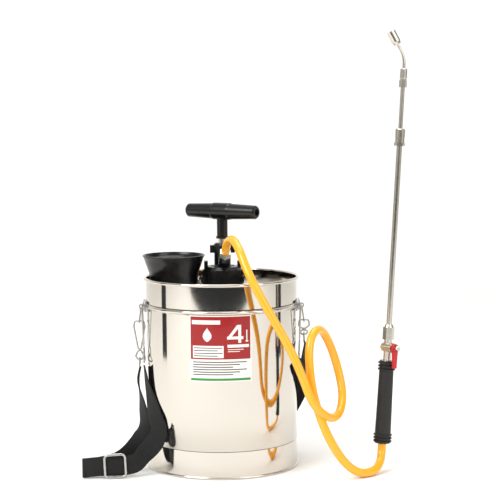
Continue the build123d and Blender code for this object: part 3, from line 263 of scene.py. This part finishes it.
# %% [markdown]
# ## Hose
# The hose leaves the pump's outlet, bows over the drum, loops beside it, falls to the
# floor and climbs into the lance's grip.
# %% Hose
hose_radius = 5.5 * MM
hose_route = [
    (6.39946, -28.1566, 287.524), (7.399, -34.556, 295.143), (11, -46, 304), (17, -63, 307.5),
    (25, -83, 296), (34, -99, 272), (47, -111, 246), (66, -114, 212), (88, -113, 173),
    (104, -115, 136), (114, -117, 107), (126, -112, 90), (141, -98, 77.5), (153, -78, 80),
    (158.5, -57, 97), (157, -43, 116), (151, -36, 141), (143, -43, 165), (134, -57, 184),
    (125.5, -72, 191.5), (117, -86, 185), (113, -95, 167), (113.5, -99, 144), (117, -102, 115),
    (127, -104, 79), (141, -105, 47), (158, -104, 21), (175, -99, 7.5), (190, -89, 5.2),
    (201, -76, 7.5), (207, -64, 14.5), (209.318, -55, 25.619), (210, -55, 37.6),
]
hose_curve = bpy.data.curves.new("hose line", "CURVE")
hose_curve.dimensions = "3D"
hose_curve.resolution_u = 12
hose_curve.bevel_depth = hose_radius
hose_curve.bevel_resolution = 8
hose_curve.use_fill_caps = True
hose_spline = hose_curve.splines.new("NURBS")
hose_spline.points.add(len(hose_route) - 1)
for point, spot in zip(hose_spline.points, hose_route):
    point.co = (*[value * MM for value in spot], 1.0)
hose_spline.order_u = 3
hose_spline.use_endpoint_u = True
hose_line = bpy.data.objects.new("orange_hose", hose_curve)
bpy.context.scene.collection.objects.link(hose_line)
hose_curve.materials.append(hose_pvc)
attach(hose_line, "tank")
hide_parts("hose")

# %% [markdown]
# ## Turned pieces
# The drum, its rim and its skirt are sheet rolled round an axis, and the funnel is a
# turned moulding. One function spins a closed profile, with enough steps for the
# mirror finish to stay smooth, and marks the sharp corners.
# %% Turned pieces
def as_object(name, mesh, body, slot_name, *materials):
    """A finished mesh as an object that rides on a body."""
    made = bpy.data.objects.new(name.replace(" ", "_"), mesh)
    bpy.context.scene.collection.objects.link(made)
    for material in materials:
        mesh.materials.append(material)
    if body:
        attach(made, body)
    return made


def face_outwards(mesh):
    """Merges doubles and turns every face of a closed mesh outwards."""
    shape = bmesh.new()
    shape.from_mesh(mesh)
    bmesh.ops.remove_doubles(shape, verts=shape.verts, dist=1e-6)
    bmesh.ops.recalc_face_normals(shape, faces=shape.faces)
    shape.to_mesh(mesh)
    shape.free()


def turned_mesh(name, profile, centre_x=0.0, steps=256, sharp=34):
    """A closed profile of (radius, height) in millimetres, spun about an upright axis."""
    points = []
    for step in range(steps):
        turn = tau * step / steps
        for radius, z in profile:
            points.append(((centre_x + radius * cos(turn)) * MM, radius * sin(turn) * MM, z * MM))
    count = len(profile)
    faces = []
    for step in range(steps):
        after = (step + 1) % steps
        for i in range(count):
            j = (i + 1) % count
            faces.append((step * count + i, after * count + i, after * count + j, step * count + j))
    mesh = bpy.data.meshes.new(name)
    mesh.from_pydata(points, [], faces)
    face_outwards(mesh)
    mesh.shade_smooth()
    mesh.set_sharp_from_angle(angle=radians(sharp))
    print(name, len(mesh.polygons), "faces")
    return mesh


def arc_points(radius_at, z_at, size, start, end, count=16):
    """Points on an arc of a profile, in degrees from outwards and turning upwards."""
    turns = [radians(start + (end - start) * i / count) for i in range(count + 1)]
    return [(radius_at + size * cos(t), z_at + size * sin(t)) for t in turns]


shell_profile = [(99, 36), (99.6, 36), (100, 36.6), (100, 90), (100, 150), (100, 212.5)]
shell_profile += arc_points(99.9, 215.7, 2.3, -62, 62)
shell_profile += [(100, 218.7), (99, 218.7), (99, 212.7)]
drum = as_object("drum shell", turned_mesh("drum shell", shell_profile), "tank",
                 "polished_steel", drum_steel)
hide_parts("tank_shell")

band_profile = [(99.7, 219.5), (100.7, 219.5), (100.7, 249.2)]
band_profile += arc_points(101.7, 251, 2.0, -120, 180, 24)
band = as_object("top band", turned_mesh("top band", band_profile), "tank",
                 "polished_steel", drum_steel)
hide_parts("top_ring")

skirt_profile = [(98, 35.2), (99, 35.2), (100.35, 3.3)]
skirt_profile += arc_points(100.4, 1.7, 1.6, 80, -170, 20)
skirt_profile += [(99.3, 3.2)]
skirt = as_object("base skirt", turned_mesh("base skirt", skirt_profile), "tank",
                  "polished_steel", drum_steel)
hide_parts("base_skirt")

# %% [markdown]
# The funnel's inside goes down in three soft steps, which catch the light as rings.
# %% Funnel
funnel_profile = [
    (27.4, 238.5), (30.9, 238.5), (31.5, 239.1), (32.2, 250), (33, 257.6), (33.3, 258.6),
    (38.0, 272), (39.9, 278), (41.3, 279.7), (41.5, 280.2), (41.5, 281), (41.0, 281.5),
    (39.6, 281.5), (39.0, 280.8), (38.5, 276.6), (37.8, 275.9), (37.0, 275.5), (36.2, 274.9),
    (35.5, 270.6), (34.8, 269.9), (34.0, 269.5), (33.3, 268.9), (32.6, 264.6), (32.0, 263.9),
    (31.4, 263.5), (31.0, 262.9), (30.8, 253.2), (30.2, 252.6), (25.4, 252.6), (25.4, 250.4),
    (27.4, 250.4),
]
funnel = as_object("funnel moulding", turned_mesh("funnel moulding", funnel_profile, -63.0, 160),
                   "funnel", "black_plastic", black_plastic)
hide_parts("funnel")

# %% [markdown]
# ## Label
# The label is film on a curved drum. Its blocks are thin patches bent to the drum, a
# few hundredths of a millimetre proud, so that each has a crisp edge. Small print is
# drawn as plain bars, and the mark as a drop: no words are copied.
# %% Label
def label_points(x, z, lift):
    """A flat spot of the label, in millimetres, bent on to the drum."""
    turn = x / 100.0
    radius = 100.0 + lift
    return (radius * sin(turn) * MM, -radius * cos(turn) * MM, z * MM)


def patch(name, outline_rows, lift, thick, material):
    """A closed patch: rows of (left x, right x, z) bent round the drum."""
    shape = bmesh.new()
    layers = []
    columns = 24
    for level in (lift - thick, lift):
        grid = []
        for left, right, z in outline_rows:
            grid.append([shape.verts.new(label_points(left + (right - left) * i / columns, z, level))
                         for i in range(columns + 1)])
        layers.append(grid)
    back, front = layers
    rows = len(outline_rows)
    for r in range(rows - 1):
        for i in range(columns):
            for grid in (back, front):
                shape.faces.new((grid[r][i], grid[r][i + 1], grid[r + 1][i + 1], grid[r + 1][i]))
        for i in (0, columns):
            shape.faces.new((back[r][i], front[r][i], front[r + 1][i], back[r + 1][i]))
    for r in (0, rows - 1):
        for i in range(columns):
            shape.faces.new((back[r][i], back[r][i + 1], front[r][i + 1], front[r][i]))
    bmesh.ops.recalc_face_normals(shape, faces=shape.faces)
    mesh = bpy.data.meshes.new(name)
    shape.to_mesh(mesh)
    shape.free()
    return as_object(name, mesh, "tank", "label_print", material)


def block(name, left, right, low, high, colour_name, lift):
    return patch(name, [(left, right, low), (left, right, high)], lift, 0.05, film[colour_name])


film_sheet = patch("label film", [(-40.5, 40.5, 127.6), (-40.5, 40.5, 170), (-40.5, 40.5, 213.0)],
                   0.25, 0.24, film["white"])
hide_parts("label_sheet")
block("label red field", -39, 39, 156.5, 211.4, "red", 0.31)
block("label green foot", -39, 39, 128.9, 132.0, "green", 0.31)
block("label headline", -37, 0, 201.6, 206.8, "white", 0.37)
block("label table", -36, 4, 158.4, 174.0, "white", 0.37)
block("label table head", 9, 37, 171.6, 175.4, "white", 0.37)
for row, z in enumerate((170.6, 167.2, 163.8, 160.4)):
    block(f"label table line {row}", -34.5, 2.5 - 6 * (row % 2), z, z + 1.1, "ink", 0.43)

drop_rows = []
for i in range(17):
    rise = i / 16
    half = 7.4 * (sin(pi * min(rise * 1.05, 1.0)) ** 0.9) * (1 - 0.55 * rise) + 0.05
    drop_rows.append((-17 - half, -17 + half, 179.0 + 18.5 * rise))
patch("label drop", drop_rows, 0.37, 0.05, film["white"])
block("label numeral stem", 23.0, 26.8, 177.5, 200.5, "white", 0.37)
block("label numeral bar", 8.6, 29.6, 182.2, 185.8, "white", 0.38)
slope_rows = [(8.6 + 12.9 * i / 12, 13.0 + 13.8 * i / 12, 184.0 + 16.5 * i / 12) for i in range(13)]
patch("label numeral slope", slope_rows, 0.39, 0.05, film["white"])
block("label unit stem", 33.6, 35.0, 180.0, 194.0, "white", 0.37)
block("label unit foot", 32.6, 36.2, 178.6, 180.4, "white", 0.38)
for row, z in enumerate((168.6, 166.0)):
    block(f"label caption line {row}", 9.5, 30.0 - 5 * row, z, z + 0.9, "white", 0.37)

# %% Label's small print
print_top, print_step, print_bar = 152.2, 3.2, 1.3
for row in range(6):
    z = print_top - print_step * row
    block(f"label small print {row}", -36, 34 - 9 * (row % 3), z, z + print_bar, "ink", 0.31)

# %% [markdown]
# ## Stitches, with Geometry Nodes
# Each webbing run is sewn at its top in four rows. A row repeats one short cylinder
# along a line, which is what Geometry Nodes do well. Three inputs set the pitch, the
# length and the thickness of a stitch. Nothing in the tree is random, so it needs no
# seed. The stitches are made real at the end, because the export drops instances.
# %% Stitch tree
def new_tree(name, numbers):
    """A geometry tree with a geometry input, named number inputs and a material input."""
    made = bpy.data.node_groups.new(name, "GeometryNodeTree")
    made.interface.new_socket("Geometry", in_out="INPUT", socket_type="NodeSocketGeometry")
    for number, kind in numbers.items():
        made.interface.new_socket(number, in_out="INPUT", socket_type=kind)
    made.interface.new_socket("Finish", in_out="INPUT", socket_type="NodeSocketMaterial")
    made.interface.new_socket("Geometry", in_out="OUTPUT", socket_type="NodeSocketGeometry")
    return made


def run_tree(name, source, made_tree, inputs):
    """Runs a tree on a source mesh and returns the result as a plain mesh."""
    holder = bpy.data.objects.new(name, source)
    bpy.context.scene.collection.objects.link(holder)
    modifier = holder.modifiers.new(name, "NODES")
    modifier.node_group = made_tree
    for item in made_tree.interface.items_tree:
        if item.in_out == "INPUT" and item.name in inputs:
            modifier[item.identifier] = inputs[item.name]
    bpy.context.view_layer.update()
    seen = holder.evaluated_get(bpy.context.evaluated_depsgraph_get())
    result = bpy.data.meshes.new_from_object(seen)
    bpy.data.objects.remove(holder)
    print(name, len(result.polygons), "faces")
    return result


stitch_tree = new_tree("stitches on a line", {
    "Pitch": "NodeSocketFloat", "Length": "NodeSocketFloat", "Radius": "NodeSocketFloat"})
into = add_node(stitch_tree, "NodeGroupInput")
line = add_node(stitch_tree, "GeometryNodeMeshToCurve", {"Mesh": into.outputs["Geometry"]})
evenly = add_node(stitch_tree, "GeometryNodeResampleCurve", {
    "Curve": line.outputs["Curve"], "Length": into.outputs["Pitch"]}, mode="LENGTH")
tangent = add_node(stitch_tree, "GeometryNodeInputTangent")
aim = add_node(stitch_tree, "FunctionNodeAlignRotationToVector", {
    "Vector": tangent.outputs["Tangent"]}, axis="Z")
bar = add_node(stitch_tree, "GeometryNodeMeshCylinder", {
    "Vertices": 6, "Radius": into.outputs["Radius"], "Depth": into.outputs["Length"]})
spread = add_node(stitch_tree, "GeometryNodeInstanceOnPoints", {
    "Points": evenly.outputs["Curve"], "Instance": bar.outputs["Mesh"],
    "Rotation": aim.outputs["Rotation"]})
real = add_node(stitch_tree, "GeometryNodeRealizeInstances", {
    "Geometry": spread.outputs["Instances"]})
finish = add_node(stitch_tree, "GeometryNodeSetMaterial", {
    "Geometry": real.outputs["Geometry"], "Material": into.outputs["Finish"]})
add_node(stitch_tree, "NodeGroupOutput", {"Geometry": finish.outputs["Geometry"]})

# %% [markdown]
# ## Webbing
# Each strap is a flat woven band that hangs from its clip, twists on to its edge and
# lies on the floor. A band is lofted through stations of a centre and a width
# direction, smoothed between them. Each run is one piece, which rides on no body.
# %% Webbing
web_half = 12.5
web_thick = 0.9
steps_between = 8


def smooth_run(stations):
    """Points and width directions along a run, eased between its stations."""
    def eased(values, i, t):
        p = [Vector(values[min(max(i + k, 0), len(values) - 1)]) for k in (-1, 0, 1, 2)]
        return 0.5 * ((2 * p[1]) + (p[2] - p[0]) * t + (2 * p[0] - 5 * p[1] + 4 * p[2] - p[3]) * t * t
                      + (3 * p[1] - p[0] - 3 * p[2] + p[3]) * t ** 3)
    centres = [station[0] for station in stations]
    widths = [Vector(station[1]).normalized() for station in stations]
    rows = []
    for i in range(len(stations) - 1):
        for s in range(steps_between):
            rows.append((eased(centres, i, s / steps_between), eased(widths, i, s / steps_between)))
    rows.append((Vector(centres[-1]), Vector(widths[-1])))
    return rows


def framed_run(stations):
    """Centre, width direction, face direction and length so far at each row of a run."""
    rows = smooth_run(stations)
    framed, gone = [], 0.0
    for k, (centre, wide) in enumerate(rows):
        along = (rows[min(k + 1, len(rows) - 1)][0] - rows[max(k - 1, 0)][0]).normalized()
        flat = (wide - along * wide.dot(along)).normalized()
        if k:
            gone += (centre - rows[k - 1][0]).length
        framed.append((centre, flat, along.cross(flat), gone))
    return framed


section = [(-1.0, 0.0), (-0.975, 0.75), (-0.93, 1.0), (-0.5, 1.0), (0.0, 1.0), (0.5, 1.0), (0.93, 1.0),
           (0.975, 0.75), (1.0, 0.0), (0.975, -0.75), (0.93, -1.0), (0.5, -1.0), (0.0, -1.0),
           (-0.5, -1.0), (-0.93, -1.0), (-0.975, -0.75)]


def webbing_mesh(name, framed):
    """A band of webbing with its weave's UV in millimetres."""
    shape = bmesh.new()
    uv = shape.loops.layers.uv.new("weave")
    rings = []
    for centre, flat, out, gone in framed:
        rings.append([shape.verts.new((centre + flat * (x * web_half) + out * (y * web_thick)) * MM)
                      for x, y in section])
    count = len(section)
    for k in range(len(rings) - 1):
        for i in range(count):
            j = (i + 1) % count
            face = shape.faces.new((rings[k][i], rings[k][j], rings[k + 1][j], rings[k + 1][i]))
            across = [section[i][0], section[j][0], section[j][0], section[i][0]]
            along = [framed[k][3], framed[k][3], framed[k + 1][3], framed[k + 1][3]]
            for loop, u, v in zip(face.loops, across, along):
                loop[uv].uv = (u * web_half, v)
    for ring in (rings[0], rings[-1]):
        shape.faces.new(ring)
    bmesh.ops.recalc_face_normals(shape, faces=shape.faces)
    mesh = bpy.data.meshes.new(name)
    shape.to_mesh(mesh)
    shape.free()
    mesh.shade_smooth()
    mesh.set_sharp_from_angle(angle=radians(50))
    return mesh


runs = {
    "front_left": ("front_clip_left", "strap_left", [
        ((-109.5, 0, 131), (0, 1, 0)), ((-112, -4, 116), (0, 1, 0)), ((-110.5, -10, 102), (-0.1, 1, 0)),
        ((-106, -24, 82), (-0.4, 1, 0)), ((-102, -38, 62), (-0.7, 1, 0.1)),
        ((-105, -50, 46), (-0.8, 0.5, 0.8)), ((-117, -58, 31), (-0.2, 0.1, 1)),
        ((-133, -66, 20), (0.1, 0, 1)), ((-154, -77, 15), (0, 0, 1)), ((-177, -82.6, 13.5), (0, 0, 1))]),
    "side_left": ("side_clip_left", "strap_left", [
        ((-102.5, -22, 134), (-0.1, 1, 0)), ((-97, -34, 106), (-0.35, 1, 0)),
        ((-88, -56, 78), (-0.7, 0.8, 0)), ((-82, -66, 60), (-0.7, 0.6, 0.5)),
        ((-87, -69, 44), (-0.6, 0.3, 0.8)), ((-100, -75, 30), (-0.3, 0, 1)),
        ((-116, -84, 17.5), (0, 0, 1)), ((-160, -88.2, 15.7), (0, 0, 1)), ((-177, -86.4, 13.5), (0, 0, 1))]),
    "front_right": ("front_clip_right", "strap_right", [
        ((110.5, 0, 162), (0, 1, 0)), ((111.5, 3, 147), (0.4, 1, 0)), ((109, 16, 130), (-0.1, 1, 0)),
        ((105, 36, 108), (-0.35, 1, 0)), ((95, 58, 84), (-0.6, 1, 0)), ((82, 76, 60), (-0.8, 0.8, 0)),
        ((68, 88, 42), (-0.8, 0.4, 0.5)), ((50, 99, 26), (-0.3, 0.1, 1)), ((28, 107, 16), (0, 0, 1)),
        ((-4, 110, 13.5), (0, 0, 1))]),
    "side_right": ("side_clip_right", "strap_right", [
        ((104.2, -20, 139), (0, 1, 0)), ((110, -13, 129), (0.5, 0.9, 0)), ((116, 4, 119), (0.2, 1, 0)),
        ((114, 28, 104), (-0.2, 1, 0)), ((104, 56, 80), (-0.5, 1, 0)), ((91, 77, 57), (-0.8, 0.8, 0)),
        ((76, 92, 39), (-0.8, 0.4, 0.5)), ((56, 104, 24), (-0.3, 0.1, 1)), ((30, 112, 16), (0, 0, 1)),
        ((-4, 113.8, 13.5), (0, 0, 1))]),
}
# %% Webbing pieces and their stitches
for run_name, (clip_body, cad_strap, stations) in runs.items():
    framed = framed_run(stations)
    band_piece = as_object(f"webbing {run_name}", webbing_mesh(run_name, framed), None,
                           "webbing", webbing)
    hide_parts(cad_strap)
    lines = []
    edges = []
    for side in (-0.8, 0.8):
        for face in (-1.0, 1.0):
            begin = len(lines)
            for centre, flat, out, gone in framed[:steps_between + 1]:
                lines.append((centre + flat * (side * web_half) + out * face * (web_thick + 0.1)) * MM)
            edges += [(k, k + 1) for k in range(begin, len(lines) - 1)]
    seam = bpy.data.meshes.new(f"seam {run_name}")
    seam.from_pydata(lines, edges, [])
    stitched = run_tree(f"stitches {run_name}", seam, stitch_tree, {
        "Pitch": 2.6 * MM, "Length": 1.9 * MM, "Radius": 0.3 * MM, "Finish": thread})
    stitch_piece = as_object(f"stitches {run_name}", stitched, None, "webbing")
    for piece in (band_piece, stitch_piece):
        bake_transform(piece)
    print(run_name, "is", round(framed[-1][3], 1), "mm long")

# %% [markdown]
# The two runs of each strap are one band, folded back on itself on the floor.
# %% Folds
for fold_name, fold_x, fold_y in (("left", -178.0, -84.5), ("right", -5.0, 111.9)):
    fold_profile = [(0.9, 1.2), (2.6, 1.2), (2.7, 2.0), (2.7, 25.0), (2.6, 25.8), (0.9, 25.8)]
    fold_mesh = turned_mesh(f"fold {fold_name}", fold_profile, 0.0, 24)
    fold_mesh.transform(Matrix.Translation(Vector((fold_x * MM, fold_y * MM, 0))))
    as_object(f"strap fold {fold_name}", fold_mesh, "tank", "webbing", webbing)

# %% [markdown]
# ## Floor and light
# A plain pale sweep, a large soft key from the left, a fill and a top light. A mirror
# shows its surroundings, so three dark cards give the drum its dark bands. One stands
# past the floor's front edge and darkens the top band. Only reflections see them.
# %% Floor and light
floor_paint, tree, shader = new_material("matt white sweep", "#F7F6F4", 0.85)
grain(tree, shader, 30.0, 0.8, 0.9)
card_paint, tree, shader = new_material("dark grey card", "#26292E", 0.9)
grain(tree, shader, 30.0, 0.85, 0.95)
sweep_points = [(-1.45, 0.0)] + [
    (1.6 + 0.8 * sin(radians(a)), 0.8 - 0.8 * cos(radians(a))) for a in range(0, 91, 6)] + [(2.4, 3.0)]
sweep_mesh = bpy.data.meshes.new("sweep")
sweep_verts = [(x, y, z) for y, z in sweep_points for x in (-4.0, 4.0)]
sweep_faces = [(2 * i, 2 * i + 1, 2 * i + 3, 2 * i + 2) for i in range(len(sweep_points) - 1)]
sweep_mesh.from_pydata(sweep_verts, [], sweep_faces)
sweep_mesh.shade_smooth()
sweep_mesh.materials.append(floor_paint)
sweep_floor = bpy.data.objects.new("sweep", sweep_mesh)
bpy.context.scene.collection.objects.link(sweep_floor)
card_corners = {
    "left": [(-1.0, -0.05, 0.0), (-1.0, 0.12, 0.0), (-1.0, 0.12, 1.6), (-1.0, -0.05, 1.6)],
    "right": [(1.0, -0.05, 0.0), (1.0, 0.15, 0.0), (1.0, 0.15, 1.6), (1.0, -0.05, 1.6)],
    "front": [(-2.6, -2.6, -0.9), (2.6, -2.6, -0.9), (2.6, -2.6, 0.4), (-2.6, -2.6, 0.4)],
}
for card_name, corners in card_corners.items():
    card_mesh = bpy.data.meshes.new(f"card {card_name}")
    card_mesh.from_pydata(corners, [], [(0, 1, 2, 3)])
    card_mesh.materials.append(card_paint)
    card = bpy.data.objects.new(f"card {card_name}", card_mesh)
    bpy.context.scene.collection.objects.link(card)
    card.visible_camera = False
    card.visible_shadow = False
    card.visible_diffuse = False

for light_name, power, width, spot, target in (
        ("key", 46, 1.4, (-1.5, -1.4, 1.9), (0, 0, 0.2)), ("fill", 18, 1.6, (1.7, -1.6, 1.3), (0, 0, 0.2)),
        ("top", 26, 1.6, (0.1, 0.3, 2.4), (0, 0, 0))):
    lamp = bpy.data.lights.new(light_name, "AREA")
    lamp.energy = power
    lamp.size = width
    lamp_object = bpy.data.objects.new(light_name, lamp)
    aim_at = (Vector(target) - Vector(spot)).to_track_quat("-Z", "Y")
    lamp_object.matrix_world = Matrix.Translation(Vector(spot)) @ aim_at.to_matrix().to_4x4()
    bpy.context.scene.collection.objects.link(lamp_object)
world = bpy.data.worlds.new("pale studio")
world.use_nodes = True
world.node_tree.nodes["Background"].inputs["Color"].default_value = colour("#ECEAE6")
world.node_tree.nodes["Background"].inputs["Strength"].default_value = 0.72
bpy.context.scene.world = world
bpy.context.scene.view_settings.view_transform = "Standard"
